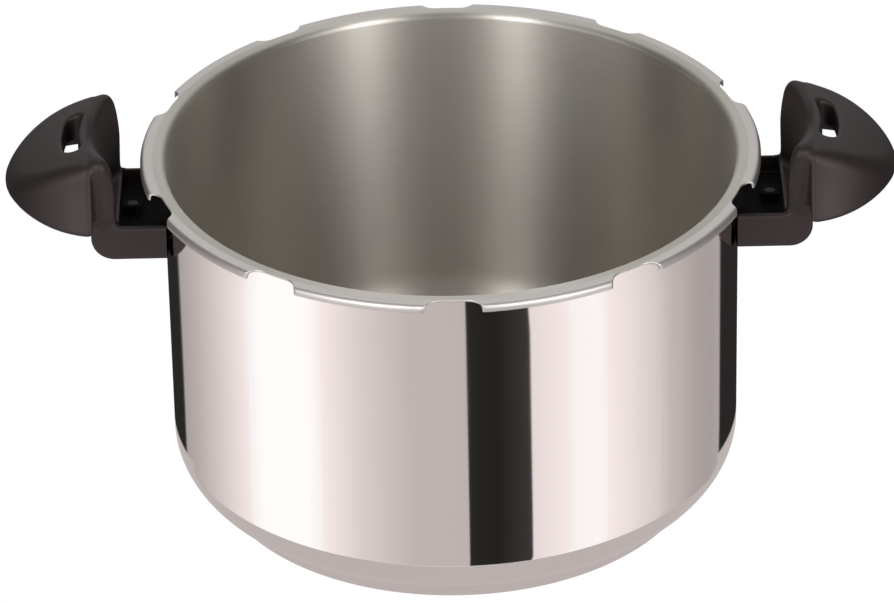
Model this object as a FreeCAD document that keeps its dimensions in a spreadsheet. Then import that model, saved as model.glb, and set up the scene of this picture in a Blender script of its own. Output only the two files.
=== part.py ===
"""Pan of a stovetop pressure cooker, in millimetres.

+Z is up, +X points along the two handles, and the origin is the centre of the base's underside.
The right handle and its fittings are drawn once along +X. The left set is the same, turned half a turn.
"""

import FreeCAD, Part
import math
import os
import Sketcher

SHEET = "dims"

# The driving dimensions, in the order of the spreadsheet's rows.
DIMENSIONS = {
    # pot shell
    "pot_radius": 125.0,
    "sheet": 1.0,
    "rim_height": 162.5,
    "rim_radius": 134.8,
    "corner_round": 23.0,
    "mouth_round": 3.0,
    "bead_round": 2.2,
    "skirt_height": 3.6,
    # notches in the rim
    "notch_depth": 4.8,
    "notch_flat": 11.0,
    "notch_flank": 8.3,
    "notch_share": 0.75,
    "notch_first": 20.0,
    "notch_spread": 140.0,
    "notch_count": 5.0,
    # capsule base
    "cap_radius": 107.7,
    "cap_sheet": 0.6,
    "cap_round": 2.0,
    "cap_height": 6.7,
    "base_height": 6.2,
    # handle hood
    "hood_inner": 144.4,
    "hood_inner_bend": 155.0,
    "hood_inner_top": 147.5,
    "hood_low": 138.0,
    "hood_low_half": 46.9,
    "hood_low_reach": 195.2,
    "hood_high": 180.0,
    "hood_high_half": 29.7,
    "hood_high_reach": 192.0,
    "hood_crown": 179.0,
    "hood_crown_place": 146.0,
    "hood_brow": 163.0,
    "hood_brow_height": 173.7,
    "hood_nose": 196.0,
    "hood_nose_height": 153.8,
    "brim_inner_height": 146.2,
    "brim_nose_height": 152.9,
    "brim_round": 143.0,
    "neck_half": 29.0,
    "neck_reach": 155.2,
    "hood_wall": 4.0,
    "hood_edge_round": 4.0,
    "scoop_half": 27.0,
    "scoop_depth": 8.5,
    # slot through the hood
    "slot_place": 164.5,
    "slot_width": 6.5,
    "slot_length": 32.0,
    "slot_wall": 2.5,
    "slot_bottom": 160.4,
    "slot_top": 170.0,
    # bridge block
    "block_half": 27.2,
    "block_bottom": 125.0,
    "block_top": 141.0,
    "block_reach": 156.3,
    "block_round": 10.0,
    "block_gap": 0.3,
    "tray_half": 24.7,
    "tray_reach": 144.2,
    "tray_floor": 133.0,
    # bracket, nut, washer and screw
    "tongue_half": 18.0,
    "tongue_bottom": 133.0,
    "tongue_sheet": 2.0,
    "tongue_reach": 149.5,
    "foot_half": 16.0,
    "foot_bottom": 129.0,
    "foot_top": 138.6,
    "foot_face": 127.0,
    "fit_gap": 0.3,
    "screw_place": 139.0,
    "screw_radius": 2.4,
    "screw_hole": 2.75,
    "screw_head": 4.75,
    "screw_head_height": 3.0,
    "screw_length": 9.4,
    "driver_recess": 2.0,
    "driver_depth": 1.8,
    "seat_height": 130.0,
    "counterbore": 5.6,
    "washer_radius": 4.9,
    "washer_sheet": 1.0,
    "nut_bore": 2.5,
    "nut_half": 4.0,
    "nut_height": 3.6,
    # how far a cutting shape runs past what it cuts
    "margin": 5.0,
}


class Size:
    """A length that carries both its number and the spreadsheet formula that gives it."""

    def __init__(self, number, formula):
        self.number = number
        self.formula = formula

    def join(self, other, sign, number):
        return Size(number, f"({self.formula} {sign} {size(other).formula})")

    def __add__(self, other):
        return self.join(other, "+", self.number + size(other).number)

    def __sub__(self, other):
        return self.join(other, "-", self.number - size(other).number)

    def __mul__(self, other):
        return self.join(other, "*", self.number * size(other).number)

    def __truediv__(self, other):
        return self.join(other, "/", self.number / size(other).number)

    def __neg__(self):
        return Size(-self.number, f"(0 - {self.formula})")

    def root(self):
        return Size(math.sqrt(self.number), f"sqrt({self.formula})")


def size(value):
    """Turns a plain number into a Size, and leaves a Size as it is."""
    if isinstance(value, Size):
        return value
    return Size(float(value), f"{float(value):g}")


def cell(alias):
    return Size(DIMENSIONS[alias], f"{SHEET}.{alias}")


def make_sheet(doc):
    """Writes the driving dimensions into the spreadsheet, one row each."""
    sheet = doc.addObject("Spreadsheet::Sheet", SHEET)
    for row, (alias, value) in enumerate(DIMENSIONS.items(), start=1):
        sheet.set(f"A{row}", alias)
        sheet.set(f"B{row}", f"{value:g}")
        sheet.setAlias(f"B{row}", alias)
    doc.recompute()
    return sheet


def bind(item, prop, value):
    """Binds a property of an object to the spreadsheet."""
    item.setExpression(prop, size(value).formula)


def new_body(doc, label):
    body = doc.addObject("PartDesign::Body", label)
    body.Label = label
    return body


def new_sketch(body, name, plane, height=None, turn=None):
    """A sketch on one of the body's own planes, raised by height and turned about the plane's normal."""
    sketch = body.newObject("Sketcher::SketchObject", f"{body.Label}_{name}")
    wanted = f"{plane}_Plane"
    support = [part for part in body.Origin.OriginFeatures if part.Role == wanted][0]
    sketch.AttachmentSupport = [(support, "")]
    sketch.MapMode = "FlatFace"
    lift = size(height).number if height is not None else 0.0
    angle = turn if turn is not None else 0.0
    axis = FreeCAD.Vector(0, 0, 1)
    sketch.AttachmentOffset = FreeCAD.Placement(FreeCAD.Vector(0, 0, lift), FreeCAD.Rotation(axis, angle))
    if height is not None:
        bind(sketch, "AttachmentOffset.Base.z", height)
    return sketch


def point_of(corner):
    return FreeCAD.Vector(size(corner[0]).number, size(corner[1]).number, 0)


def arc_between(start, end, radius, side):
    """The short arc from start to end. It bulges to the right of the way from start to end if side is 1."""
    chord = end - start
    middle = (start + end) * 0.5
    across = FreeCAD.Vector(chord.y, -chord.x, 0).normalize()
    half = chord.Length / 2
    rise = radius - math.sqrt(max(radius * radius - half * half, 0.0))
    return Part.Arc(start, middle + across * (rise * side), end)


def end_at(sketch, edge, point):
    """Says which end of an edge lies at a point: 1 for its start, 2 for its end."""
    near_start = sketch.getPoint(edge, 1).distanceToPoint(point)
    near_end = sketch.getPoint(edge, 2).distanceToPoint(point)
    return 1 if near_start < near_end else 2


def hold_value(sketch, kind, references, value):
    """Adds a dimension to a sketch and binds it to the spreadsheet."""
    index = sketch.addConstraint(Sketcher.Constraint(kind, *references, value.number))
    sketch.setExpression(f"Constraints[{index}]", value.formula)


def hold_point(sketch, edge, end, corner):
    """Fixes a corner at its two distances from the sketch's origin."""
    for kind, axis, distance in (("DistanceX", -2, size(corner[0])), ("DistanceY", -1, size(corner[1]))):
        if abs(distance.number) < 1e-9:
            sketch.addConstraint(Sketcher.Constraint("PointOnObject", edge, end, axis))
        else:
            hold_value(sketch, kind, (-1, 1, edge, end), distance)


def outline(sketch, corners):
    """Closes a loop through the corners: each is (x, y), or (x, y, radius, side) if an arc leads to it."""
    points = [point_of(corner) for corner in corners]
    edges = []
    for index, corner in enumerate(corners):
        start = points[index - 1]
        end = points[index]
        if len(corner) == 2:
            edges.append(sketch.addGeometry(Part.LineSegment(start, end)))
        else:
            edges.append(sketch.addGeometry(arc_between(start, end, size(corner[2]).number, corner[3])))
    for index, corner in enumerate(corners):
        edge = edges[index]
        after = edges[(index + 1) % len(edges)]
        end = end_at(sketch, edge, points[index])
        begin = end_at(sketch, after, points[index])
        sketch.addConstraint(Sketcher.Constraint("Coincident", edge, end, after, begin))
        hold_point(sketch, edge, end, corner)
        if len(corner) > 2:
            hold_value(sketch, "Radius", (edge,), size(corner[2]))


def circle(sketch, x, y, radius):
    """A full circle with its centre and radius bound to the spreadsheet."""
    centre = point_of((x, y))
    edge = sketch.addGeometry(Part.Circle(centre, FreeCAD.Vector(0, 0, 1), size(radius).number))
    hold_point(sketch, edge, 3, (x, y))
    hold_value(sketch, "Radius", (edge,), size(radius))


def rectangle(sketch, low_x, high_x, low_y, high_y):
    outline(sketch, [(low_x, low_y), (high_x, low_y), (high_x, high_y), (low_x, high_y)])


def revolve(body, sketch):
    """A full turn of the sketch about the body's Z axis."""
    feature = body.newObject("PartDesign::Revolution", f"{sketch.Label}_turned")
    feature.Profile = sketch
    feature.ReferenceAxis = (sketch, ["V_Axis"])
    feature.Angle = 360
    body.Tip = feature


def pad(body, sketch, length, centred=False):
    feature = body.newObject("PartDesign::Pad", f"{sketch.Label}_pad")
    feature.Profile = sketch
    feature.Length = size(length).number
    bind(feature, "Length", length)
    if centred:
        feature.SideType = "Symmetric"
    body.Tip = feature


def loft(body, low, high):
    """A ruled solid between two outlines with the same corners."""
    feature = body.newObject("PartDesign::AdditiveLoft", f"{body.Label}_loft")
    feature.Profile = low
    feature.Sections = [high]
    feature.Ruled = True
    body.Tip = feature


def pocket(body, sketch, length, upward=False, centred=False):
    """Cuts the sketch into the body against its normal, or along it if upward is true.
    Raises an error if nothing was cut."""
    body.Document.recompute()
    before = body.Shape.Volume
    feature = body.newObject("PartDesign::Pocket", f"{sketch.Label}_pocket")
    feature.Profile = sketch
    feature.Length = size(length).number
    bind(feature, "Length", length)
    feature.Reversed = upward
    if centred:
        feature.SideType = "Symmetric"
    body.Tip = feature
    body.Document.recompute()
    if body.Shape.Volume > before - 0.01:
        raise RuntimeError(f"{feature.Label} cut nothing")
    return feature


def make_pot_shell(doc):
    """One sheet drawn into a pot: flat bottom, rounded corner, straight wall, and a flange turned down."""
    sheet = cell("sheet")
    wall = cell("pot_radius")
    rim = cell("rim_height")
    edge = cell("rim_radius")
    corner = cell("corner_round")
    mouth = cell("mouth_round")
    bead = cell("bead_round")
    bottom = cell("base_height")
    skirt = rim - cell("skirt_height")
    body = new_body(doc, "pot_shell")
    profile = new_sketch(body, "profile", "XZ")
    outline(profile, [
        (0, bottom),
        (wall - corner, bottom),
        (wall, bottom + corner, corner, 1),
        (wall, rim - mouth),
        (wall + mouth - sheet, rim - sheet, mouth - sheet, -1),
        (edge - bead, rim - sheet),
        (edge - sheet, rim - bead, bead - sheet, -1),
        (edge - sheet, skirt),
        (edge, skirt),
        (edge, rim - bead),
        (edge - bead, rim, bead, 1),
        (wall - sheet + mouth, rim),
        (wall - sheet, rim - mouth, mouth, 1),
        (wall - sheet, bottom + corner),
        (wall - corner, bottom + sheet, corner - sheet, -1),
        (0, bottom + sheet),
    ])
    revolve(body, profile)
    cut_notches(body)
    return body


def cut_notches(body):
    """Punches five notches round the front and five round the back, wider apart beside the handles."""
    above = cell("rim_height") + cell("margin")
    for name, half_turn in (("back", 0), ("front", 180)):
        first = DIMENSIONS["notch_first"] + half_turn
        notch = new_sketch(body, f"{name}_notch", "XY", height=above, turn=first)
        draw_notch(notch)
        punched = pocket(body, notch, cell("skirt_height") + cell("margin") * 2)
        row = body.newObject("PartDesign::PolarPattern", f"{name}_notches")
        row.Originals = [punched]
        row.Axis = (notch, ["N_Axis"])
        row.Angle = DIMENSIONS["notch_spread"]
        row.Occurrences = int(DIMENSIONS["notch_count"])
        body.Tip = row


def draw_notch(sketch):
    """A flat floor between two S-shaped flanks, each a wide hollow arc and a small arc at the rim."""
    edge = cell("rim_radius")
    depth = cell("notch_depth")
    floor = edge - depth
    flank = cell("notch_flank")
    flat = cell("notch_flat") / 2
    share = cell("notch_share")
    both_arcs = (depth * depth + flank * flank) / (depth * 2)
    hollow = both_arcs * share
    corner = both_arcs - hollow
    turn_radius = floor + depth * share
    turn_width = flat + flank * share
    outside = edge + cell("margin")
    outline(sketch, [
        (turn_radius, -turn_width, corner, 1),
        (floor, -flat, hollow, -1),
        (floor, flat),
        (turn_radius, turn_width, hollow, -1),
        (edge, flat + flank, corner, 1),
        (outside, flat + flank),
        (outside, -(flat + flank)),
        (edge, -(flat + flank)),
    ])


def make_base_cap(doc):
    """The thin steel cup that closes the capsule base from below."""
    radius = cell("cap_radius")
    sheet = cell("cap_sheet")
    bend = cell("cap_round")
    top = cell("cap_height")
    body = new_body(doc, "base_cap")
    profile = new_sketch(body, "profile", "XZ")
    outline(profile, [
        (0, 0),
        (radius - bend, 0),
        (radius, bend, bend, 1),
        (radius, top),
        (radius - sheet, top),
        (radius - sheet, bend),
        (radius - bend, sheet, bend - sheet, -1),
        (0, sheet),
    ])
    revolve(body, profile)
    return body


def make_heat_spreader(doc):
    """The aluminium disc that fills the base cap and follows the pot's corner at its edge."""
    sheet = cell("cap_sheet")
    bend = cell("cap_round")
    corner = cell("corner_round")
    flat = cell("pot_radius") - corner
    radius = cell("cap_radius") - sheet
    overhang = radius - flat
    shoulder = cell("base_height") + corner - (corner * corner - overhang * overhang).root()
    body = new_body(doc, "heat_spreader_disc")
    profile = new_sketch(body, "profile", "XZ")
    outline(profile, [
        (0, sheet),
        (cell("cap_radius") - bend, sheet),
        (radius, bend, bend - sheet, 1),
        (radius, shoulder),
        (flat, cell("base_height"), corner, -1),
        (0, cell("base_height")),
    ])
    revolve(body, profile)
    return body


def place_side(body, side):
    """The left side's pieces are the right side's turned half a turn about Z."""
    angle = 0 if side == "right" else 180
    turn = FreeCAD.Rotation(FreeCAD.Vector(0, 0, 1), angle)
    body.Placement = FreeCAD.Placement(FreeCAD.Vector(0, 0, 0), turn)


def make_wing(doc, label, inset):
    """The flared wing of the hood, or the hollow inside it when every wall is set in."""
    body = new_body(doc, label)
    levels = []
    for level in ("low", "high"):
        height = cell(f"hood_{level}")
        plan = new_sketch(body, f"{level}_plan", "XY", height=height)
        inner = cell("pot_radius")
        half = cell(f"hood_{level}_half") - inset
        reach = cell(f"hood_{level}_reach") - inset
        outline(plan, [
            (inner, -half),
            (reach - half, -half),
            (reach, 0, half, 1),
            (reach - half, half, half, 1),
            (inner, half),
        ])
        levels.append(plan)
    loft(body, *levels)
    face_pot(body, inset)
    slope_top(body, inset)
    return body


def face_pot(body, inset):
    """Cuts the hood's face towards the pot: upright below, and leaning away above."""
    width = (cell("hood_low_half") + cell("margin")) * 2
    start = cell("pot_radius") - cell("margin")
    ground = cell("hood_low") - cell("margin")
    before = new_sketch(body, "before", "XZ")
    outline(before, [
        (start, ground),
        (cell("hood_inner") + inset, ground),
        (cell("hood_inner") + inset, cell("hood_inner_bend")),
        (cell("hood_inner_top") + inset, cell("hood_high")),
        (start, cell("hood_high")),
    ])
    pocket(body, before, width, centred=True)


def slope_top(body, inset):
    """Cuts the hood's top to its slope, and to the arc that carries it on down to the nose."""
    width = (cell("hood_low_half") + cell("margin")) * 2
    sky = cell("hood_high") + cell("margin")
    slope = (cell("hood_crown") - cell("hood_brow_height")) / (cell("hood_brow") - cell("hood_crown_place"))
    start = cell("hood_crown_place") - cell("margin")
    ahead = cell("hood_nose") - cell("hood_brow")
    drop = cell("hood_brow_height") - cell("hood_nose_height")
    off_slope = (drop - slope * ahead) / (slope * slope + 1).root()
    tangent_radius = (ahead * ahead + drop * drop) / (off_slope * 2)
    above = new_sketch(body, "above", "XZ")
    outline(above, [
        (start, cell("hood_crown") + slope * cell("margin") - inset),
        (cell("hood_brow"), cell("hood_brow_height") - inset),
        (cell("hood_nose"), cell("hood_nose_height") - inset, tangent_radius, -1),
        (cell("hood_nose"), sky),
        (start, sky),
    ])
    pocket(body, above, width, centred=True)


def narrow_neck(body, inset):
    """Cuts the hood back beside the neck that joins it to the block."""
    half = cell("neck_half") - inset
    reach = cell("neck_reach") + inset
    start = cell("pot_radius")
    side = cell("hood_low_half") + cell("margin")
    beside = new_sketch(body, "beside_neck", "XY")
    rectangle(beside, start, reach, half, side)
    rectangle(beside, start, reach, -side, -half)
    pocket(body, beside, cell("hood_high") + cell("margin"), upward=True)


def cut_scoop(body, inset):
    """Hollows the neck's face towards the pot."""
    depth = cell("scoop_depth")
    chord = cell("scoop_half")
    radius = (chord * chord + depth * depth) / (depth * 2)
    scoop = new_sketch(body, "scoop", "XY")
    circle(scoop, cell("hood_inner") + depth - radius, 0, radius + inset)
    pocket(body, scoop, cell("hood_high") + cell("margin"), upward=True)


def crown_edges(shape, low):
    """Names the edges that run down the hood's top where it meets the wing's sides, all above low."""
    names = []
    for index, edge in enumerate(shape.Edges, start=1):
        box = edge.BoundBox
        if box.XLength > box.ZLength > 0.5 and box.ZMin > low:
            names.append(f"Edge{index}")
    return names


def round_crown(body):
    """Rounds the edges where the hood's top meets its sides."""
    body.Document.recompute()
    names = crown_edges(body.Shape, cell("brim_nose_height").number)
    sharp = body.Tip
    rounded = body.newObject("PartDesign::Fillet", f"{body.Label}_crown_round")
    rounded.Base = (sharp, names)
    bind(rounded, "Radius", cell("hood_edge_round"))
    body.Tip = rounded


def raise_brim(body):
    """Cuts the hood's lower edge to its arch, beyond the neck."""
    width = (cell("hood_low_half") + cell("margin")) * 2
    ground = cell("hood_low") - cell("margin")
    below = new_sketch(body, "below", "XZ")
    outline(below, [
        (cell("neck_reach"), ground),
        (cell("hood_nose"), ground),
        (cell("hood_nose"), cell("brim_nose_height")),
        (cell("neck_reach"), cell("brim_inner_height"), cell("brim_round"), -1),
    ])
    pocket(body, below, width, centred=True)


def hollow_out(body, hollow):
    """Takes the shape of another body away from this one."""
    cut = body.newObject("PartDesign::Boolean", f"{body.Label}_hollowed")
    cut.Type = "Cut"
    cut.addObjects([hollow])
    body.Tip = cut
    body.Document.recompute()


def add_slot(body):
    """The slot through the hood, with a collar under it."""
    width = cell("slot_width") / 2
    length = cell("slot_length") / 2
    wall = cell("slot_wall")
    place = cell("slot_place")
    collar = new_sketch(body, "collar", "XY", height=cell("slot_bottom"))
    round_ended(collar, place, width + wall, length + wall)
    pad(body, collar, cell("slot_top") - cell("slot_bottom"))
    slot = new_sketch(body, "slot", "XY")
    round_ended(slot, place, width, length)
    pocket(body, slot, cell("hood_high"), upward=True)


def round_ended(sketch, place, width, length):
    """A slot shape along Y, with half width and half length given."""
    straight = length - width
    outline(sketch, [
        (place - width, -straight),
        (place, -length, width, 1),
        (place + width, -straight, width, 1),
        (place + width, straight),
        (place, length, width, 1),
        (place - width, straight, width, 1),
    ])


def add_block(body):
    """The bridge block between the hood and the wall: rounded below at its outer end, and a tray above."""
    bend = cell("block_round")
    bottom = cell("block_bottom")
    top = cell("block_top")
    reach = cell("block_reach")
    start = cell("pot_radius") - cell("margin")
    block = new_sketch(body, "block", "XZ")
    outline(block, [
        (start, bottom),
        (reach - bend, bottom),
        (reach, bottom + bend, bend, 1),
        (reach, top),
        (start, top),
    ])
    pad(body, block, cell("block_half") * 2, centred=True)
    tray = new_sketch(body, "tray", "XY", height=cell("tray_floor"))
    rectangle(tray, start, cell("tray_reach"), -cell("tray_half"), cell("tray_half"))
    pocket(body, tray, top - cell("tray_floor") + cell("margin"), upward=True)
    wall = new_sketch(body, "wall", "XY")
    circle(wall, 0, 0, cell("pot_radius") + cell("block_gap"))
    pocket(body, wall, cell("hood_high"), upward=True)


def cut_fittings(body):
    """The mortise for the bracket's tongue, the room for its foot, and the screw's hole and counterbore."""
    gap = cell("fit_gap")
    tongue = new_sketch(body, "tongue_room", "YZ")
    tongue_side = cell("tongue_half") + gap
    tongue_top = cell("tongue_bottom") + cell("tongue_sheet") + gap
    rectangle(tongue, -tongue_side, tongue_side, cell("tongue_bottom"), tongue_top)
    pocket(body, tongue, cell("tongue_reach") + gap, upward=True)
    foot = new_sketch(body, "foot_room", "YZ")
    foot_side = cell("foot_half") + gap
    rectangle(foot, -foot_side, foot_side, cell("foot_bottom") - gap, cell("foot_top") + gap)
    pocket(body, foot, cell("foot_face") + gap, upward=True)
    for name, radius, top in (
        ("counterbore", cell("counterbore"), cell("seat_height")),
        ("screw_hole", cell("screw_hole"), cell("tongue_bottom")),
    ):
        sketch = new_sketch(body, name, "XY")
        circle(sketch, cell("screw_place"), 0, radius)
        pocket(body, sketch, top, upward=True)


def make_handle(doc, side):
    """One moulding: the hood, its slot, and the bridge block with the rooms for its fittings."""
    hollow = make_wing(doc, f"{side}_handle_hollow", cell("hood_wall"))
    narrow_neck(hollow, cell("hood_wall"))
    cut_scoop(hollow, cell("hood_wall"))
    body = make_wing(doc, f"{side}_handle", size(0))
    round_crown(body)
    narrow_neck(body, size(0))
    cut_scoop(body, size(0))
    raise_brim(body)
    hollow_out(body, hollow)
    add_slot(body)
    add_block(body)
    cut_fittings(body)
    place_side(body, side)
    return body


def make_bracket(doc, side):
    """A pressed steel tongue with a foot curved to the wall, and a hole for the screw."""
    body = new_body(doc, f"{side}_bracket")
    inside = cell("pot_radius") - cell("margin")
    tongue = new_sketch(body, "tongue", "XY", height=cell("tongue_bottom"))
    half = cell("tongue_half")
    rectangle(tongue, inside, cell("tongue_reach"), -half, half)
    pad(body, tongue, cell("tongue_sheet"))
    foot = new_sketch(body, "foot", "XY", height=cell("foot_bottom"))
    rectangle(foot, inside, cell("foot_face"), -cell("foot_half"), cell("foot_half"))
    pad(body, foot, cell("foot_top") - cell("foot_bottom"))
    wall = new_sketch(body, "wall", "XY")
    circle(wall, 0, 0, cell("pot_radius"))
    pocket(body, wall, cell("block_top"), upward=True)
    hole = new_sketch(body, "hole", "XY")
    circle(hole, cell("screw_place"), 0, cell("screw_hole"))
    pocket(body, hole, cell("block_top"), upward=True)
    place_side(body, side)
    return body


def make_weld_nut(doc, side):
    """A square nut welded on top of the tongue."""
    body = new_body(doc, f"{side}_weld_nut")
    place = cell("screw_place")
    half = cell("nut_half")
    square = new_sketch(body, "square", "XY", height=cell("tongue_bottom") + cell("tongue_sheet"))
    rectangle(square, place - half, place + half, -half, half)
    circle(square, place, 0, cell("nut_bore"))
    pad(body, square, cell("nut_height"))
    place_side(body, side)
    return body


def make_washer(doc, side):
    """The flat washer between the screw's head and the block."""
    body = new_body(doc, f"{side}_screw_washer")
    ring = new_sketch(body, "ring", "XY", height=cell("seat_height") - cell("washer_sheet"))
    circle(ring, cell("screw_place"), 0, cell("washer_radius"))
    circle(ring, cell("screw_place"), 0, cell("screw_hole"))
    pad(body, ring, cell("washer_sheet"))
    place_side(body, side)
    return body


def make_screw(doc, side):
    """The screw that goes up through the block into the nut, with a square driver recess in its head."""
    body = new_body(doc, f"{side}_handle_screw")
    place = cell("screw_place")
    seat = cell("seat_height") - cell("washer_sheet")
    head_bottom = seat - cell("screw_head_height")
    head = new_sketch(body, "head", "XY", height=head_bottom)
    circle(head, place, 0, cell("screw_head"))
    pad(body, head, cell("screw_head_height"))
    shank = new_sketch(body, "shank", "XY", height=seat)
    circle(shank, place, 0, cell("screw_radius"))
    pad(body, shank, cell("screw_length"))
    recess = new_sketch(body, "recess", "XY")
    side_half = cell("driver_recess")
    rectangle(recess, place - side_half, place + side_half, -side_half, side_half)
    pocket(body, recess, head_bottom + cell("driver_depth"), upward=True)
    place_side(body, side)
    return body


def check(doc, bodies):
    """Stops if any object failed or any piece isn't one valid solid."""
    for item in doc.Objects:
        if "Invalid" in item.State or "Error" in item.State:
            raise RuntimeError(f"{item.Label} failed: {item.State}")
    for body in bodies:
        shape = body.Shape
        if shape.isNull() or not shape.isValid() or len(shape.Solids) != 1:
            raise RuntimeError(f"{body.Label} isn't one valid solid")


def main():
    doc = FreeCAD.newDocument("pressure_cooker_pan")
    make_sheet(doc)
    bodies = [make_pot_shell(doc), make_base_cap(doc), make_heat_spreader(doc)]
    for side in ("right", "left"):
        for make in (make_handle, make_bracket, make_weld_nut, make_washer, make_screw):
            bodies.append(make(doc, side))
    doc.recompute()
    check(doc, bodies)
    os.makedirs("parts", exist_ok=True)
    for body in bodies:
        body.Shape.exportStep(f"parts/{body.Label}.step")
        box = body.Shape.BoundBox
        print(f"{body.Label}: {body.Shape.Volume:.0f} mm3, x {box.XMin:.1f} to {box.XMax:.1f}, "
              f"y {box.YMin:.1f} to {box.YMax:.1f}, z {box.ZMin:.1f} to {box.ZMax:.1f}")


main()
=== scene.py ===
"""Looks of a stovetop pressure cooker's pan: a polished steel pot with a notched rim and two black handles.

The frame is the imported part's: +X along the handles, +Z up, the origin under the base. Shapes are worked
out in millimetres and scaled to metres as their meshes are made. The handles are meshed distance fields.
"""

import math

import bmesh
import bpy
import numpy as np
from mathutils import Matrix, Vector


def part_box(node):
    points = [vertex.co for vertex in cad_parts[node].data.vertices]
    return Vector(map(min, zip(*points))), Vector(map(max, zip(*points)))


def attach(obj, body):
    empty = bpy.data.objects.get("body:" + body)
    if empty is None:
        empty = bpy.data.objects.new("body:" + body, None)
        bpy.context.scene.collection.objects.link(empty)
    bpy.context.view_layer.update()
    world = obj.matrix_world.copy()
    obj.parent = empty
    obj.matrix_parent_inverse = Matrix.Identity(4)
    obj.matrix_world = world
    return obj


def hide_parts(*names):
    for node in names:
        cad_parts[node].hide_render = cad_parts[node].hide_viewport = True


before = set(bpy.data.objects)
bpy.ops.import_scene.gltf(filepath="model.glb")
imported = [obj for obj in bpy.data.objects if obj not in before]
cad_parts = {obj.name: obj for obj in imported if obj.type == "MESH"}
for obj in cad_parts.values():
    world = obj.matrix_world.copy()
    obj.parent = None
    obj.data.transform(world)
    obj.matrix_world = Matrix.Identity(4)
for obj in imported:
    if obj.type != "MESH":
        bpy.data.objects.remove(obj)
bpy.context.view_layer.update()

MM = 0.001

# ---------------------------------------------------------------- pot and base sizes, in millimetres
pot_low, pot_high = (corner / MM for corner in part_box("pot_shell"))
_, cap_high = (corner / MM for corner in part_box("base_cap"))

RIM_HEIGHT = pot_high.z
RIM_RADIUS = pot_high.x
BASE_HEIGHT = pot_low.z
SHEET = 1.0
WALL_RADIUS = 125.0
CORNER_ROUND = 23.0
MOUTH_ROUND = 3.0
BEAD_ROUND = 2.2
SKIRT_HEIGHT = 3.6
SKIRT_LIP = 0.18
FLANGE_SEAM = 3.0
FLOOR_RINGS = (0.0, 40.0, 80.0, 98.0)
OUTSIDE, FLANGE, INSIDE = range(3)
NOTCH_MIDDLES = [half + first for half in (0, 180) for first in (20, 55, 90, 125, 160)]
NOTCH_DEPTH = 4.8
NOTCH_FLAT = 11.0
NOTCH_FLANK = 8.3
NOTCH_HOLLOW = 0.75
NOTCH_EDGE = 0.35
CAP_RADIUS = cap_high.x
CAP_HEIGHT = cap_high.z
CAP_SHEET = 0.6
CAP_ROUND = 2.0
CAP_EDGE = 0.2
CAP_RINGS = (30.0, 55.0, 80.0)
CAP_COLUMNS = 360


# ---------------------------------------------------------------- small helpers
def new_object(name, points, faces, zones=None, materials=()):
    """Makes a mesh object from points in millimetres. Zones give each face's material."""
    mesh = bpy.data.meshes.new(name)
    mesh.from_pydata((np.asarray(points, float) * MM).tolist(), [], faces)
    for material in materials:
        mesh.materials.append(material)
    if zones is not None:
        mesh.polygons.foreach_set("material_index", np.asarray(zones, np.int32))
    mesh.polygons.foreach_set("use_smooth", np.ones(len(mesh.polygons), bool))
    mesh.update()
    mesh.validate()
    piece = bpy.data.objects.new(name, mesh)
    bpy.context.scene.collection.objects.link(piece)
    return piece


def smooth_by_angle(piece, degrees):
    """Keeps edges that turn more than the angle sharp, and smooths the rest."""
    piece.data.set_sharp_from_angle(angle=math.radians(degrees))


def arc(centre_r, centre_z, radius, start, end, steps):
    """Points on an arc in the (r, z) plane, angles in degrees from the r axis, both ends included."""
    angles = np.radians(np.linspace(start, end, steps + 1))
    return [(centre_r + radius * math.cos(a), centre_z + radius * math.sin(a)) for a in angles]


def grid_faces(columns, rows):
    """Quads of a grid that closes round its columns. Point index is column * rows + row."""
    faces = []
    for column in range(columns):
        here = column * rows
        after = (column + 1) % columns * rows
        for row in range(rows - 1):
            faces.append((here + row, after + row, after + row + 1, here + row + 1))
    return faces


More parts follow.
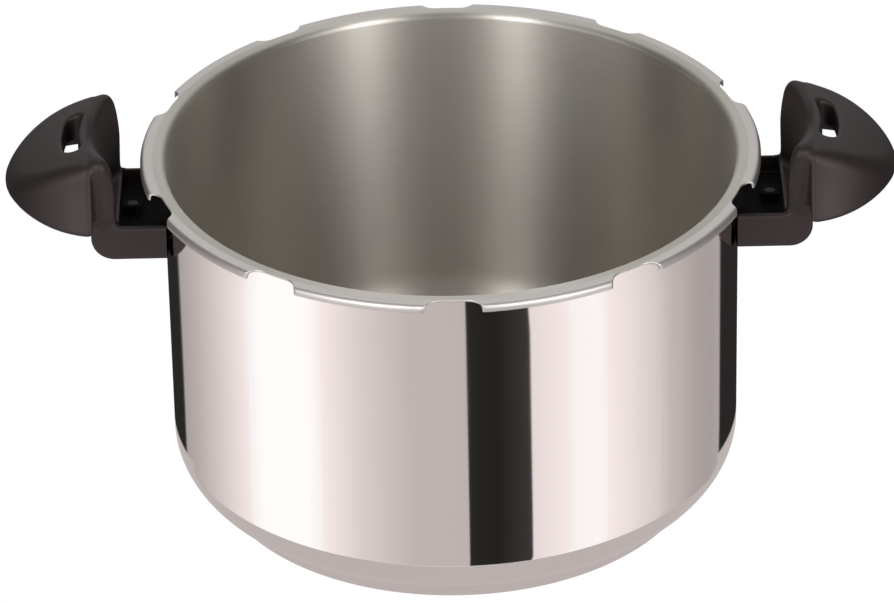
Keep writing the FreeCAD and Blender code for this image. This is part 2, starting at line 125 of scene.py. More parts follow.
# ---------------------------------------------------------------- node helpers
class Nodes:
    """Builds one material's node tree with short calls."""

    def __init__(self, name):
        self.material = bpy.data.materials.new(name)
        self.material.use_nodes = True
        self.tree = self.material.node_tree
        self.shader = self.tree.nodes["Principled BSDF"]

    def add(self, kind, inputs=(), **settings):
        node = self.tree.nodes.new(kind)
        for key, value in settings.items():
            setattr(node, key, value)
        for key, value in dict(inputs).items():
            self.put(node, key, value)
        return node

    def put(self, node, key, value):
        """Sets an input to a value, or links it to another node's output."""
        if isinstance(value, bpy.types.NodeSocket):
            self.tree.links.new(value, node.inputs[key])
        else:
            node.inputs[key].default_value = value

    def surface(self, **inputs):
        """Sets the shader's inputs. Underscores in names stand for spaces."""
        for key, value in inputs.items():
            self.put(self.shader, key.replace("_", " "), value)

    def maths(self, operation, first, second=0.0):
        return self.add("ShaderNodeMath", {0: first, 1: second}, operation=operation).outputs[0]

    def spot(self):
        """The point on the object, in its own coordinates."""
        return self.add("ShaderNodeTexCoord").outputs["Object"]

    def stretched(self, scale):
        return self.add("ShaderNodeMapping", {"Vector": self.spot(), "Scale": scale}).outputs["Vector"]

    def noise(self, vector, scale, detail=3.0, roughness=0.5):
        inputs = {"Vector": vector, "Scale": scale, "Detail": detail, "Roughness": roughness}
        return self.add("ShaderNodeTexNoise", inputs).outputs["Fac"]

    def between(self, factor, low, high):
        """Maps 0..1 to low..high."""
        inputs = {"Value": factor, "To Min": low, "To Max": high}
        return self.add("ShaderNodeMapRange", inputs).outputs["Result"]

    def tint(self, factor, low, high):
        """Blends two colours."""
        inputs = {0: factor, 6: (*low, 1.0), 7: (*high, 1.0)}
        return self.add("ShaderNodeMix", inputs, data_type="RGBA").outputs[2]

    def bump(self, height, strength, distance):
        inputs = {"Height": height, "Strength": strength, "Distance": distance}
        return self.add("ShaderNodeBump", inputs).outputs["Normal"]

    def around(self, turns, rise):
        """A vector that runs slowly round the Z axis and quickly up it, for brushing marks."""
        parts = self.add("ShaderNodeSeparateXYZ", {"Vector": self.spot()}).outputs
        angle = self.maths("ARCTAN2", parts["Y"], parts["X"])
        radius_2 = self.maths("ADD", self.maths("MULTIPLY", parts["X"], parts["X"]),
                              self.maths("MULTIPLY", parts["Y"], parts["Y"]))
        radius = self.maths("SQRT", radius_2)
        inputs = {
            "X": self.maths("MULTIPLY", angle, turns),
            "Y": self.maths("MULTIPLY", radius, rise),
            "Z": self.maths("MULTIPLY", parts["Z"], rise),
        }
        return self.add("ShaderNodeCombineXYZ", inputs).outputs[0]


def polished_steel():
    """Mirror-polished outside wall, with the faint haze and hairlines that polishing leaves."""
    n = Nodes("polished_steel")
    haze = n.noise(n.stretched((1, 1, 1)), 14.0, 4.0)
    lines = n.noise(n.around(3.0, 900.0), 1.0, 2.0)
    n.surface(Metallic=1.0, Base_Color=n.tint(haze, (0.88, 0.835, 0.825), (0.91, 0.87, 0.865)))
    n.surface(Roughness=n.between(haze, 0.035, 0.075))
    n.surface(Normal=n.bump(lines, 0.02, 0.0002))
    return n.material


def satin_steel(name, low, high, rough_low, rough_high, depth=0.12, stretch=0.0):
    """Satin steel, brushed round the axis. Stretch draws its highlights out across the brushing."""
    n = Nodes(name)
    vector = n.around(2.5, 1500.0)
    lines = n.noise(vector, 1.0, 4.0, 0.6)
    cloud = n.noise(n.stretched((1, 1, 1)), 18.0, 3.0)
    n.surface(Metallic=1.0, Base_Color=n.tint(lines, low, high))
    mixed = n.maths("ADD", n.maths("MULTIPLY", lines, 0.6), n.maths("MULTIPLY", cloud, 0.4))
    n.surface(Roughness=n.between(mixed, rough_low, rough_high))
    n.surface(Normal=n.bump(lines, depth, 0.0002))
    if stretch:
        n.surface(Anisotropic=stretch, Anisotropic_Rotation=0.25)
        n.surface(Tangent=n.add("ShaderNodeTangent", axis="Z").outputs[0])
    return n.material


def black_phenolic():
    """Black moulded phenolic: satin, with a very fine grain and slight clouding."""
    n = Nodes("black_phenolic")
    cloud = n.noise(n.stretched((1, 1, 1)), 45.0, 4.0)
    grain = n.noise(n.stretched((1, 1, 1)), 2600.0, 2.0)
    n.surface(Base_Color=n.tint(cloud, (0.016, 0.011, 0.011), (0.022, 0.016, 0.016)))
    n.surface(Roughness=n.between(cloud, 0.44, 0.54))
    n.surface(Specular_IOR_Level=0.40, Specular_Tint=(1.0, 0.84, 0.84, 1.0))
    n.surface(Normal=n.bump(grain, 0.10, 0.0001))
    return n.material


def black_coat_and_painted_shade():
    """Pressed steel under a dull black coat, with a slight unevenness. Its near-black, almost unreflecting
    tone is also painted shade for the dark tray that it lies in.
    """
    n = Nodes("black_coat_with_painted_shade")
    cloud = n.noise(n.stretched((1, 1, 1)), 160.0, 3.0)
    spots = n.noise(n.stretched((1, 1, 1)), 900.0, 3.0)
    n.surface(Base_Color=n.tint(cloud, (0.0055, 0.0048, 0.0048), (0.0080, 0.0070, 0.0070)))
    n.surface(Roughness=n.between(spots, 0.62, 0.78), Specular_IOR_Level=0.06)
    n.surface(Normal=n.bump(spots, 0.12, 0.0001))
    return n.material


def plated_steel(name, low, high):
    """Small pressed and turned steel pieces: dull plating with handling marks."""
    n = Nodes(name)
    spots = n.noise(n.stretched((1, 1, 1)), 700.0, 4.0)
    cloud = n.noise(n.stretched((1, 1, 1)), 120.0, 3.0)
    n.surface(Metallic=1.0, Base_Color=n.tint(cloud, low, high))
    n.surface(Roughness=n.between(spots, 0.28, 0.48))
    n.surface(Normal=n.bump(spots, 0.15, 0.0001))
    return n.material


# ---------------------------------------------------------------- pot shell
def notch_floor(angle):
    """The rim's outer radius at an angle in degrees: full, or cut back along a notch's S-shaped flanks."""
    off = min(abs((angle - middle + 180) % 360 - 180) for middle in NOTCH_MIDDLES)
    along = math.radians(off) * RIM_RADIUS - NOTCH_FLAT / 2
    bottom = RIM_RADIUS - NOTCH_DEPTH
    if along >= NOTCH_FLANK:
        return RIM_RADIUS
    if along <= 0:
        return bottom
    both_arcs = (NOTCH_DEPTH ** 2 + NOTCH_FLANK ** 2) / (2 * NOTCH_DEPTH)
    hollow = both_arcs * NOTCH_HOLLOW
    corner = both_arcs - hollow
    if along < NOTCH_FLANK * NOTCH_HOLLOW:
        return bottom + hollow - math.sqrt(hollow ** 2 - along ** 2)
    return RIM_RADIUS - corner + math.sqrt(max(corner ** 2 - (NOTCH_FLANK - along) ** 2, 0.0))


def pot_angles():
    """Column angles in degrees: even steps, with close ones over each notch's flanks."""
    angles = set(np.round(np.arange(0, 360, 0.75), 4).tolist())
    flat = math.degrees(NOTCH_FLAT / 2 / RIM_RADIUS)
    end = math.degrees((NOTCH_FLAT / 2 + NOTCH_FLANK) / RIM_RADIUS)
    for middle in NOTCH_MIDDLES:
        for share in np.linspace(flat * 0.9, end * 1.01, 30):
            angles.add(round((middle + share) % 360, 4))
            angles.add(round((middle - share) % 360, 4))
    return sorted(angles)


def pot_profile():
    """The sheet's section as (r, z, zone), from under the floor, over the rim and back to the floor."""
    inner = WALL_RADIUS - SHEET
    corner_r = WALL_RADIUS - CORNER_ROUND
    corner_z = BASE_HEIGHT + CORNER_ROUND
    bead_r = RIM_RADIUS - BEAD_ROUND
    bead_z = RIM_HEIGHT - BEAD_ROUND
    mouth_r = inner + MOUTH_ROUND
    mouth_z = RIM_HEIGHT - MOUTH_ROUND
    skirt = RIM_HEIGHT - SKIRT_HEIGHT
    outside = [(r, BASE_HEIGHT) for r in FLOOR_RINGS]
    outside += arc(corner_r, corner_z, CORNER_ROUND, -90, 0, 28)
    outside += [(WALL_RADIUS, z) for z in np.linspace(corner_z, mouth_z, 8)[1:-1]]
    outside += arc(mouth_r, mouth_z, MOUTH_ROUND - SHEET, 180, 90, 6)
    flange = [(bead_r - FLANGE_SEAM, RIM_HEIGHT - SHEET)]
    flange += arc(bead_r, bead_z, BEAD_ROUND - SHEET, 90, 0, 5)
    flange += [(RIM_RADIUS - SHEET, skirt + SKIRT_LIP), (RIM_RADIUS - SHEET + SKIRT_LIP, skirt)]
    flange += [(RIM_RADIUS - SKIRT_LIP, skirt), (RIM_RADIUS, skirt + SKIRT_LIP)]
    flange += arc(bead_r, bead_z, BEAD_ROUND, 0, 90, 8)
    flange += [(bead_r - FLANGE_SEAM, RIM_HEIGHT)]
    inside = arc(mouth_r, mouth_z, MOUTH_ROUND, 90, 180, 8)
    inside += [(inner, z) for z in np.linspace(mouth_z, corner_z, 8)[1:-1]]
    inside += arc(corner_r, corner_z, CORNER_ROUND - SHEET, 0, -90, 28)
    inside += [(r, BASE_HEIGHT + SHEET) for r in reversed(FLOOR_RINGS)]
    zones = [OUTSIDE] * len(outside) + [FLANGE] * len(flange) + [INSIDE] * len(inside)
    return [(r, z, zone) for (r, z), zone in zip(outside + flange + inside, zones)]


def flange_edge(radius, upper):
    """The height of the flange's upper or lower surface at a radius."""
    bead_r = RIM_RADIUS - BEAD_ROUND
    bend = BEAD_ROUND if upper else BEAD_ROUND - SHEET
    flat = RIM_HEIGHT if upper else RIM_HEIGHT - SHEET
    if radius <= bead_r:
        return flat
    return RIM_HEIGHT - BEAD_ROUND + math.sqrt(max(bend ** 2 - (radius - bead_r) ** 2, 0.0))


def pot_column(profile, limit):
    """One section of the pot, with what lies outside the limit cut away and the cut's edges rounded."""
    column = [(r, z) for r, z, _ in profile]
    if limit >= RIM_RADIUS:
        return column
    if limit > RIM_RADIUS - SHEET:
        return [(min(r, limit), z) for r, z in column]
    past = [index for index, (r, _) in enumerate(column) if r > limit]
    first, last = past[0], past[-1]
    low = flange_edge(limit, upper=False)
    high = flange_edge(limit, upper=True)
    for index in past:
        share = (index - first) / (last - first)
        level = 2 * share - 1
        pull = 1 - math.sqrt(max(1 - level * level, 0.0))
        column[index] = (limit - NOTCH_EDGE * pull, low + (high - low) * share)
    return column


def make_pot(materials):
    """The pot as a grid: one column for each angle, one row for each point of the section."""
    profile = pot_profile()
    angles = pot_angles()
    rows = len(profile)
    points = np.zeros((len(angles), rows, 3))
    for column, angle in enumerate(angles):
        turn = math.radians(angle)
        for row, (r, z) in enumerate(pot_column(profile, notch_floor(angle))):
            points[column, row] = (r * math.cos(turn), r * math.sin(turn), z)
    faces = grid_faces(len(angles), rows)
    zones = [zone for _, _, zone in profile[1:]] * len(angles)
    piece = new_object("pot_shell_polished", points.reshape(-1, 3), faces, zones, materials)
    weld_centres(piece)
    smooth_by_angle(piece, 38)
    return piece


def weld_centres(piece):
    """Merges the points that fall together on the axis."""
    mesh = bmesh.new()
    mesh.from_mesh(piece.data)
    bmesh.ops.remove_doubles(mesh, verts=mesh.verts, dist=1e-6)
    bmesh.ops.recalc_face_normals(mesh, faces=mesh.faces)
    mesh.to_mesh(piece.data)
    mesh.free()
    piece.data.polygons.foreach_set("use_smooth", np.ones(len(piece.data.polygons), bool))


# ---------------------------------------------------------------- base cap
def make_cap(material):
    """The steel cup under the pot, with the shallow rings that stiffen its underside."""
    profile = [(0.0, 0.0)]
    depth, mouth, bed = 0.22, 1.6, 0.9
    for ring in CAP_RINGS:
        profile += [(ring - mouth, 0.0), (ring - bed, depth), (ring + bed, depth), (ring + mouth, 0.0)]
    profile += arc(CAP_RADIUS - CAP_ROUND, CAP_ROUND, CAP_ROUND, -90, 0, 8)
    profile += arc(CAP_RADIUS - CAP_EDGE, CAP_HEIGHT - CAP_EDGE, CAP_EDGE, 0, 90, 3)
    profile += [(CAP_RADIUS - CAP_SHEET, CAP_HEIGHT)]
    profile += arc(CAP_RADIUS - CAP_ROUND, CAP_ROUND, CAP_ROUND - CAP_SHEET, 0, -90, 6)
    profile += [(0.0, CAP_SHEET)]
    points = []
    for column in range(CAP_COLUMNS):
        turn = 2 * math.pi * column / CAP_COLUMNS
        points += [(r * math.cos(turn), r * math.sin(turn), z) for r, z in profile]
    faces = grid_faces(CAP_COLUMNS, len(profile))
    piece = new_object("base_cap_ringed", points, faces, materials=[material])
    weld_centres(piece)
    smooth_by_angle(piece, 30)
    return piece


# ---------------------------------------------------------------- handle sizes, in millimetres
# They are those of the right-hand handle, where X runs outwards from the pot's axis.
BLOCK_HALF = 27.2
BLOCK_LOW = 125.0
BLOCK_TOP = 141.0
BLOCK_REACH = 156.3
BLOCK_ROUND = 10.0
WALL_GAP = 0.3
FACE_X = 144.4
FACE_FILLET = 2.4
LEAN_START = 155.0
LEAN_CURVE = 0.0072
SCOOP_DEPTH = 7.9
SCOOP_HALF = 25.0
SCOOP_SPREAD = 3.5 / 26
SCOOP_MIDDLE = 150.0
NECK_REACH = 158.0
NECK_SPREAD = 5.4
WING_BACK = 154.3
WING_START = 152.0
WING_HALF = 33.9
WING_REACH = 42.0
FLARE_TOP = 173.0
FLARE_HEIGHT = 26.0
FLARE_LIMIT = 30.0
FLARE_POWER = 1.25
FLARE_HALF = 10.0
FLARE_REACH = 0.6
BRIM_HEIGHT = 146.0
BRIM_ARCH = 0.0035
HOOD_FLOOR = 138.0
HOOD_WALL = 4.0
CROWN_HEIGHT = 178.1
CROWN_START = 150.0
CROWN_SLOPE = 0.31
CROWN_CAMBER = 0.0010
NOSE_START = 163.0
NOSE_CURVE = 0.009
SLOT_X = 164.7
SLOT_BOW = 0.008
SLOT_STRAIGHT = 12.1
SLOT_ROUND = 3.3
COLLAR_WALL = 2.5
COLLAR_LOW = 160.4
COLLAR_INSET = 1.5
TRAY_REACH = 144.2
TRAY_HALF = 24.7
TRAY_FLOOR = 133.0
TRAY_OPEN = 150.0
SCREW_X = 139.0
SCREW_HOLE = 2.75
SCREW_HOLE_TOP = 134.0
COUNTERBORE = 5.6
SEAT_HEIGHT = 130.0
# Each room is its reach, its half width, and its lower and upper ends.
TONGUE_ROOM = (149.8, 18.3, 133.0, 135.3)
FOOT_ROOM = (127.3, 16.3, 128.7, 138.9)
# These bring the sloping surfaces' fields nearer to true distances.
TOP_SCALE = 0.93
WING_SCALE = 0.94
SCOOP_SCALE = 0.9
# The meshed region, with a margin all round the moulding.
GRID_LOW = (123.0, -47.0, 122.5)
GRID_HIGH = (196.0, 47.0, 180.0)
GRID_STEP = 0.75


# ---------------------------------------------------------------- handles, as distance fields
def smooth_max(a, b, blend):
    h = np.clip(0.5 + 0.5 * (a - b) / blend, 0, 1)
    return b * (1 - h) + a * h + blend * h * (1 - h)


def smooth_min(a, b, blend):
    return -smooth_max(-a, -b, blend)


def hood_top(x, y):
    """The hood's top: a slope that falls away from the pot, faster near the nose, slightly crowned across."""
    fall = CROWN_SLOPE * (x - CROWN_START) + NOSE_CURVE * np.maximum(x - NOSE_START, 0) ** 2
    return CROWN_HEIGHT - fall - CROWN_CAMBER * y ** 2


def wing_outline(x, y, z):
    """The grip's outline, half an ellipse that widens downwards into a flared brim."""
    flare = (np.clip(FLARE_TOP - z, 0, FLARE_LIMIT) / FLARE_HEIGHT) ** FLARE_POWER
    half = WING_HALF + FLARE_HALF * flare
    reach = WING_REACH + FLARE_REACH * flare
    ahead = np.maximum(x - WING_START, 0)
    ring = np.maximum(np.hypot(ahead / reach, y / half), 1e-6)
    steepness = np.hypot(ahead / reach ** 2, y / half ** 2) / ring
    return (ring - 1) / np.maximum(steepness, 1e-4) * WING_SCALE


def face_towards_pot(x, y, z):
    """The neck's face: upright, leaning away above, hollowed in the middle, and filleted into the block."""
    upright = FACE_X + LEAN_CURVE * np.maximum(z - LEAN_START, 0) ** 2
    below = np.clip(BLOCK_TOP + FACE_FILLET - z, 0, FACE_FILLET)
    fillet = FACE_FILLET - np.sqrt(np.maximum(FACE_FILLET ** 2 - below ** 2, 0))
    half = SCOOP_HALF + SCOOP_SPREAD * (z - SCOOP_MIDDLE)
    hollow = upright + SCOOP_DEPTH * (1 - (y / half) ** 2)
    return smooth_max(upright - fillet - x, (hollow - fillet - x) * SCOOP_SCALE, blend=1.2)


def hood_outside(x, y, z):
    """The hood's outer skin, with no underside: the neck over the block, and the flared wing beyond it."""
    top = (z - hood_top(x, y)) * TOP_SCALE
    wing = smooth_max(wing_outline(x, y, z), WING_BACK - x, blend=2.0)
    rise = np.clip((z - BRIM_HEIGHT) / FLARE_HEIGHT, 0, 1)
    neck = np.maximum(np.abs(y) - BLOCK_HALF - NECK_SPREAD * rise, x - NECK_REACH)
    skin = smooth_min(wing, neck, blend=6.5 - 4.5 * rise)
    skin = smooth_max(skin, top, blend=5.5)
    return smooth_max(skin, face_towards_pot(x, y, z), blend=5.0)


def slot_outline(x, y):
    """The oblong slot, bent a little with the grip."""
    across = x + SLOT_BOW * y ** 2 - SLOT_X
    return np.hypot(across, np.maximum(np.abs(y) - SLOT_STRAIGHT, 0)) - SLOT_ROUND


def hollow_hood(x, y, z):
    """The hood as a shell that is open underneath, with an arched brim and a slot that has a collar."""
    skin = hood_outside(x, y, z)
    brim = BRIM_HEIGHT + BRIM_ARCH * np.maximum(x - WING_START, 0) ** 2
    beyond_block = (x > BLOCK_REACH) | (np.abs(y) > BLOCK_HALF + 0.4)
    lower_edge = np.where(beyond_block, brim, HOOD_FLOOR) - z
    hood = smooth_max(skin, lower_edge, blend=2.0)
    hood = smooth_max(hood, -(skin + HOOD_WALL), blend=1.2)
    slot = slot_outline(x, y)
    collar_ends = np.maximum(COLLAR_LOW - z, z - hood_top(x, y) + COLLAR_INSET)
    hood = smooth_min(hood, np.maximum(slot - COLLAR_WALL, collar_ends), blend=1.0)
    return smooth_max(hood, -slot, blend=2.4)


def bridge_block(x, y, z):
    """The block that carries the hood and reaches to the wall, with a rounded lower corner."""
    past_corner = np.maximum(x - (BLOCK_REACH - BLOCK_ROUND), 0)
    under_corner = np.maximum(BLOCK_LOW + BLOCK_ROUND - z, 0)
    corner = np.hypot(past_corner, under_corner) - BLOCK_ROUND
    block = smooth_max(corner, z - BLOCK_TOP, blend=1.5)
    return smooth_max(block, np.abs(y) - BLOCK_HALF, blend=2.0)


def handle_field(x, y, z):
    """Negative inside the moulding. +X points away from the pot."""
    body = smooth_min(hollow_hood(x, y, z), bridge_block(x, y, z), blend=0.8)
    body = np.maximum(body, WALL_RADIUS + WALL_GAP - np.hypot(x, y))
    return cut_fitting_rooms(body, x, y, z)


def cut_fitting_rooms(body, x, y, z):
    """The tray in the block's top, and the rooms for the bracket and the screw."""
    tray = np.maximum.reduce([x - TRAY_REACH, np.abs(y) - TRAY_HALF, TRAY_FLOOR - z, z - TRAY_OPEN])
    body = smooth_max(body, -tray, blend=0.8)
    for reach, half, low, high in (TONGUE_ROOM, FOOT_ROOM):
        room = np.maximum.reduce([x - reach, np.abs(y) - half, low - z, z - high])
        body = np.maximum(body, -room)
    screw = np.hypot(x - SCREW_X, y)
    body = np.maximum(body, -np.maximum(screw - SCREW_HOLE, z - SCREW_HOLE_TOP))
    return smooth_max(body, -np.maximum(screw - COUNTERBORE, z - SEAT_HEIGHT), blend=0.6)


def surface_net(field, low, high, step):
    """Meshes a distance field's zero surface: one point in each mixed cell, then settled on the surface."""
    axes = [np.arange(low[i], high[i] + step, step) for i in range(3)]
    x, y, z = np.meshgrid(*axes, indexing="ij")
    values = field(x, y, z)
    inside = values < 0
    shape = np.array(values.shape) - 1
    corners = [(i, j, k) for i in (0, 1) for j in (0, 1) for k in (0, 1)]

    def corner(array, c):
        return array[c[0]:c[0] + shape[0], c[1]:c[1] + shape[1], c[2]:c[2] + shape[2]]

    # A cell with corners on both sides gets one point, at the mean of its edges' crossings.
    count = sum(corner(inside, c).astype(int) for c in corners)
    mixed = (count > 0) & (count < len(corners))
    total = np.zeros(tuple(shape) + (3,))
    hits = np.zeros(tuple(shape))
    for c in corners:
        for axis in range(3):
            if c[axis]:
                continue
            d = list(c)
            d[axis] = 1
            a = corner(values, c)
            b = corner(values, d)
            crosses = (a < 0) != (b < 0)
            gap = np.where(crosses, a - b, 1.0)
            share = np.where(crosses, a / gap, 0.0)
            for part in range(3):
                where = c[part] + (share if part == axis else 0.0)
                total[..., part] += np.where(crosses, where, 0.0)
            hits += crosses
    cells = np.argwhere(mixed)
    offset = total[mixed] / hits[mixed][:, None]
    points = np.array(low) + (cells + offset) * step
    index = -np.ones(tuple(shape), int)
    index[mixed] = np.arange(len(cells))

    # A grid edge that crosses the surface gives one quad, from the four cells round it.
    faces = []
    for axis in range(3):
        u, v = [(1, 2), (2, 0), (0, 1)][axis]
        lead = [slice(1, -1)] * 3
        lead[axis] = slice(0, -1)
        follow = list(lead)
        follow[axis] = slice(1, None)
        a = inside[tuple(lead)]
        b = inside[tuple(follow)]
        base = np.argwhere(a != b)
        start = np.ones(3, int)
        start[axis] = 0
        node = base + start
        flip = a[tuple(base.T)]
        ring = []
        for du, dv in ((-1, -1), (0, -1), (0, 0), (-1, 0)):
            cell = node.copy()
            cell[:, u] += du
            cell[:, v] += dv
            ring.append(index[tuple(cell.T)])
        ring = np.stack(ring, 1)
        ring[~flip] = ring[~flip][:, ::-1]
        faces.append(ring)
    faces = np.concatenate(faces)
    return settle(field, points, faces), faces


def slope_of(field, points, reach=0.02):
    """The field's value and gradient at each point."""
    value = field(*points.T)
    slope = np.zeros_like(points)
    for axis in range(3):
        shift = np.zeros(3)
        shift[axis] = reach
        slope[:, axis] = (field(*(points + shift).T) - field(*(points - shift).T)) / (2 * reach)
    return value, slope


def settle(field, points, faces):
    """Evens the points out and draws them onto the zero surface."""
    least_slope_squared, longest_move = 0.25, 0.4
    edges = np.concatenate([faces[:, [i, (i + 1) % 4]] for i in range(4)])
    for relax in (0.5, 0.35, 0.0):
        if relax:
            total = np.zeros_like(points)
            count = np.zeros(len(points))
            for a, b in ((0, 1), (1, 0)):
                np.add.at(total, edges[:, a], points[edges[:, b]])
                np.add.at(count, edges[:, a], 1)
            points = points * (1 - relax) + relax * total / count[:, None]
        for _ in range(2):
            value, slope = slope_of(field, points)
            size = np.maximum((slope ** 2).sum(1), least_slope_squared)
            points = points - slope * np.clip(value / size, -longest_move, longest_move)[:, None]
    return points


def make_handles(material):
    """Meshes the moulding once, and turns a copy half a turn for the left side."""
    step = GRID_STEP
    points, faces = surface_net(handle_field, GRID_LOW, GRID_HIGH, step)
    pieces = []
    for side, sign in (("right", 1), ("left", -1)):
        placed = points * np.array([sign, sign, 1])
        piece = new_object(f"{side}_handle_moulding", placed, faces.tolist(), materials=[material])
        smooth_by_angle(piece, 50)
        pieces.append((side, piece))
    return pieces


# ---------------------------------------------------------------- stage
def glow(name, strength):
    """A plain emission, coloured by the mesh's own shade attribute."""
    material = bpy.data.materials.new(name)
    material.use_nodes = True
    nodes = material.node_tree.nodes
    nodes.clear()
    out = nodes.new("ShaderNodeOutputMaterial")
    light = nodes.new("ShaderNodeEmission")
    shade = nodes.new("ShaderNodeAttribute")
    shade.attribute_name = "shade"
    material.node_tree.links.new(shade.outputs["Color"], light.inputs["Color"])
    light.inputs["Strength"].default_value = strength
    material.node_tree.links.new(light.outputs[0], out.inputs["Surface"])
    return material


def only_in_reflections(piece):
    """A studio card: mirrors see it, the camera and the room don't."""
    piece.visible_camera = False
    piece.visible_diffuse = False
    piece.visible_shadow = False
    piece.visible_transmission = False
    piece.visible_volume_scatter = False


# How bright the studio looks from each part of the wall: degrees from the front, then lightness 0 to 1.
WALL_TONES = [
    (-90, 0.02), (-73.2, 0.02), (-71.8, 0.37), (-66.5, 0.43), (-62.5, 0.49), (-56, 0.62), (-49, 0.80),
    (-42, 1.0), (-32, 1.0), (-26, 0.84), (-19, 0.66), (-9, 0.50), (2.05, 0.49),
    (2.4, 0.020), (8.0, 0.016), (14.9, 0.040), (15.2, 0.76), (24, 0.90), (29, 0.93), (37, 0.80),
    (44, 0.65), (48, 0.52), (57, 0.39), (63, 0.36), (67.4, 0.39), (68.5, 0.02), (90, 0.02),
]
CORNER_TONE = 0.47
CARD_STRENGTH = 1.15
CARD_WARMTH = np.array([1.0, 0.925, 0.91])
WHITE_TONE = 0.9


def fine_tones(widest=1.5):
    """The wall's tones, with steps between them no wider than about this many degrees."""
    tones = []
    for (a0, s0), (a1, s1) in zip(WALL_TONES, WALL_TONES[1:]):
        parts = max(int((a1 - a0) / widest), 1)
        tones += [(a0 + (a1 - a0) * i / parts, s0 + (s1 - s0) * i / parts) for i in range(parts)]
    return tones + [WALL_TONES[-1]]


def make_floor_cards():
    """Cards laid on the floor round the front of the pot, shaded so that the wall mirrors a studio.

    A wall point at angle a mirrors the floor along the heading 2a, so each tone is a strip along that
    heading. A ring of one tone lies under the strips' near ends, and lights the pot's rounded corner.
    """
    near, near_at_sides, far = 28.0, 50.0, 300.0
    side_angle = 67
    strip_height, ring_height = 0.6, 0.3
    ring_inner, ring_outer, ring_steps = 100.0, WALL_RADIUS + near - 1, 96
    points, shades, faces = [], [], []
    tones = fine_tones()
    for angle, shade in tones:
        a = math.radians(angle)
        wall = (WALL_RADIUS * math.sin(a), -WALL_RADIUS * math.cos(a))
        heading = (math.sin(2 * a), -math.cos(2 * a))
        for reach in (near if abs(angle) < side_angle else near_at_sides, far):
            points.append((wall[0] + heading[0] * reach, wall[1] + heading[1] * reach, strip_height))
            shades.append(shade)
    for i in range(len(tones) - 1):
        faces.append((2 * i, 2 * i + 1, 2 * i + 3, 2 * i + 2))
    first = len(points)
    for step in range(ring_steps):
        turn = 2 * math.pi * step / ring_steps
        for radius in (ring_inner, ring_outer):
            points.append((radius * math.cos(turn), radius * math.sin(turn), ring_height))
            shades.append(CORNER_TONE)
    for step in range(ring_steps):
        here = first + 2 * step
        after = first + 2 * ((step + 1) % ring_steps)
        faces.append((here, here + 1, after + 1, after))
    piece = new_object("floor_cards", points, faces, materials=[glow("card_glow", CARD_STRENGTH)])
    paint = piece.data.color_attributes.new("shade", "FLOAT_COLOR", "POINT")
    for item, shade in zip(paint.data, shades):
        tint = CARD_WARMTH * shade if shade < WHITE_TONE else np.ones(3) * shade
        item.color = (*tint, 1.0)
    only_in_reflections(piece)


def make_floor():
    """A white light table that only the camera sees."""
    n = Nodes("light_table")
    n.surface(Base_Color=(0.0, 0.0, 0.0, 1.0), Specular_IOR_Level=0.0)
    n.surface(Emission_Color=(1.0, 1.0, 1.0, 1.0), Emission_Strength=1.02)
    size = 9000.0
    below_base = 0.2 * MM
    points = [(-size, -size, 0), (size, -size, 0), (size, size, 0), (-size, size, 0)]
    floor = new_object("floor", points, [(0, 1, 2, 3)], materials=[n.material])
    floor.location.z = -below_base
    floor.visible_glossy = False
    floor.visible_diffuse = False


def make_light(name, place, target, size, power):
    """A rectangular soft box, aimed at a target."""
    light = bpy.data.lights.new(name, "AREA")
    light.shape = "RECTANGLE"
    light.size, light.size_y = size
    light.energy = power
    lamp = bpy.data.objects.new(name, light)
    lamp.location = place
    lamp.rotation_euler = (Vector(target) - Vector(place)).to_track_quat("-Z", "Y").to_euler()
    bpy.context.scene.collection.objects.link(lamp)


def make_camera():
    """A long lens that looks down on the pan, slightly rolled."""
    pitch = math.radians(30.70)
    roll = math.radians(1.16)
    ahead = Vector((0, math.cos(pitch), -math.sin(pitch)))
    right = Vector((1, 0, 0))
    up = right.cross(ahead)
    right_rolled = right * math.cos(roll) - up * math.sin(roll)
    up_rolled = right * math.sin(roll) + up * math.cos(roll)
    data = bpy.data.cameras.new("camera")
    data.lens = 241.6
    data.sensor_width = 36.0
    data.clip_end = 50.0
    camera = bpy.data.objects.new("camera", data)
    turn = Matrix((right_rolled, up_rolled, -ahead)).transposed()
    place = (-0.0028, -2.2745, 1.4354)
    camera.matrix_world = Matrix.Translation(place) @ turn.to_4x4()
    bpy.context.scene.collection.objects.link(camera)
    bpy.context.scene.camera = camera


def make_world():
    """A dim studio: a pale backdrop behind, a pale floor in front, and a window on each side."""
    world = bpy.data.worlds.new("studio")
    world.use_nodes = True
    tree = world.node_tree
    back = tree.nodes["Background"]
    direction = tree.nodes.new("ShaderNodeTexCoord").outputs["Generated"]
    backdrop = glow_towards(tree, direction, (0, 0.86, 0.51), 0.66, 0.95, 0.62)
    near_floor = glow_towards(tree, direction, (0, -0.86, -0.51), 0.10, 0.90, 0.60)
    window_left = glow_towards(tree, direction, (-0.83, -0.52, 0.20), 0.90, 0.99, 1.1)
    window_right = glow_towards(tree, direction, (0.67, -0.72, 0.20), 0.93, 0.99, 1.6)
    room_glow = 0.12
    total = backdrop
    for part in (near_floor, window_left, window_right, room_glow):
        total = add_up(tree, total, part)
    tree.links.new(total, back.inputs["Strength"])
    back.inputs["Color"].default_value = (1.0, 1.0, 1.0, 1.0)
    bpy.context.scene.world = world


def add_up(tree, first, second):
    """Adds a number, or another node's value, to a node's value."""
    node = tree.nodes.new("ShaderNodeMath")
    tree.links.new(first, node.inputs[0])
    if isinstance(second, float):
        node.inputs[1].default_value = second
    else:
        tree.links.new(second, node.inputs[1])
    return node.outputs[0]


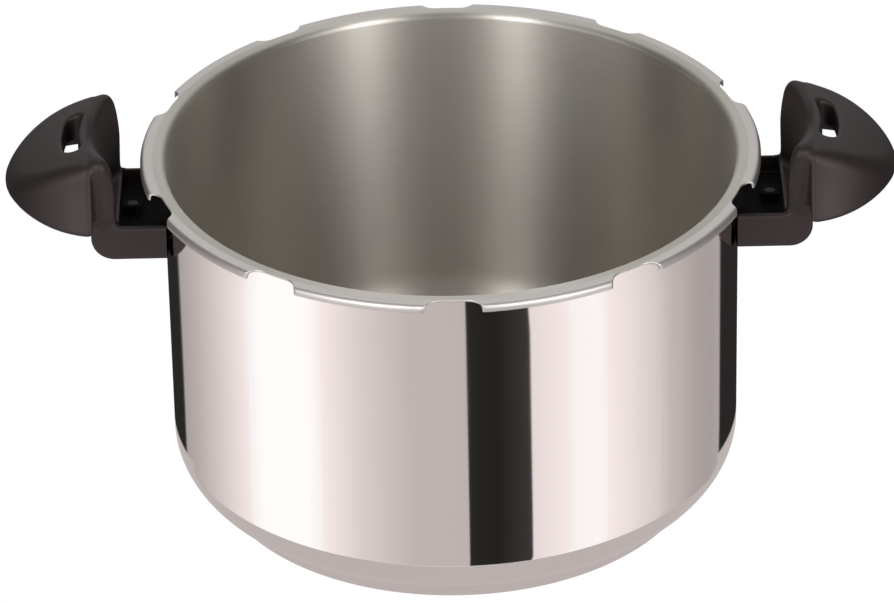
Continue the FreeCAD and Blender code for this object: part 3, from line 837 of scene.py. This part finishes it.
def glow_towards(tree, direction, middle, start, full, strength):
    """A soft glow round one direction of the world, from nothing at cosine start to its full strength."""
    dot = tree.nodes.new("ShaderNodeVectorMath")
    dot.operation = "DOT_PRODUCT"
    tree.links.new(direction, dot.inputs[0])
    dot.inputs[1].default_value = middle
    ramp = tree.nodes.new("ShaderNodeMapRange")
    ramp.interpolation_type = "SMOOTHSTEP"
    tree.links.new(dot.outputs["Value"], ramp.inputs["Value"])
    for name, value in (("From Min", start), ("From Max", full), ("To Min", 0.0), ("To Max", strength)):
        ramp.inputs[name].default_value = value
    return ramp.outputs["Result"]


def make_lights():
    """Two tall soft boxes in front, and a weak wide one overhead."""
    make_light("softbox_left", (-0.85, -1.60, 1.05), (0, 0, 0.08), (0.42, 1.5), 17.0)
    make_light("softbox_right", (1.00, -1.50, 1.05), (0, 0, 0.08), (0.42, 1.5), 15.0)
    make_light("overhead", (0.0, 0.9, 2.6), (0, 0.1, 0.0), (2.4, 1.4), 8.0)


# ---------------------------------------------------------------- build
def use_material(node, material):
    """Gives a carried-over CAD node its material."""
    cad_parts[node].data.materials.clear()
    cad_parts[node].data.materials.append(material)


def main():
    make_camera()
    make_world()
    make_lights()
    make_floor()
    make_floor_cards()
    bpy.context.scene.view_settings.view_transform = "Standard"

    wall = polished_steel()
    rim = satin_steel("satin_rim", (0.62, 0.585, 0.57), (0.67, 0.635, 0.62), 0.44, 0.52, depth=0.05)
    inside = satin_steel("satin_inside", (0.57, 0.54, 0.495), (0.65, 0.62, 0.57), 0.38, 0.48, stretch=0.85)
    base = satin_steel("satin_base", (0.86, 0.81, 0.80), (0.91, 0.86, 0.85), 0.18, 0.26, depth=0.05)
    pot = make_pot([wall, rim, inside])
    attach(pot, "root")
    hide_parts("pot_shell")
    cap = make_cap(base)
    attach(cap, "root")
    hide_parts("base_cap")

    phenolic = black_phenolic()
    for side, handle in make_handles(phenolic):
        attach(handle, "root")
        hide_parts(f"{side}_handle")

    # Bracket and weld nut: a black coat, made near-black and nearly unreflecting as painted shade for the
    # tray in the block's top.
    coat_and_shade = black_coat_and_painted_shade()
    fastener = plated_steel("blackened_screw", (0.010, 0.009, 0.009), (0.016, 0.015, 0.015))
    aluminium = satin_steel(
        "spreader_aluminium", (0.74, 0.74, 0.74), (0.82, 0.82, 0.82), 0.35, 0.5, depth=0.1)
    use_material("heat_spreader_disc", aluminium)
    for side in ("left", "right"):
        for node in ("bracket", "weld_nut"):
            use_material(f"{side}_{node}", coat_and_shade)
        for node in ("screw_washer", "handle_screw"):
            use_material(f"{side}_{node}", fastener)


main()
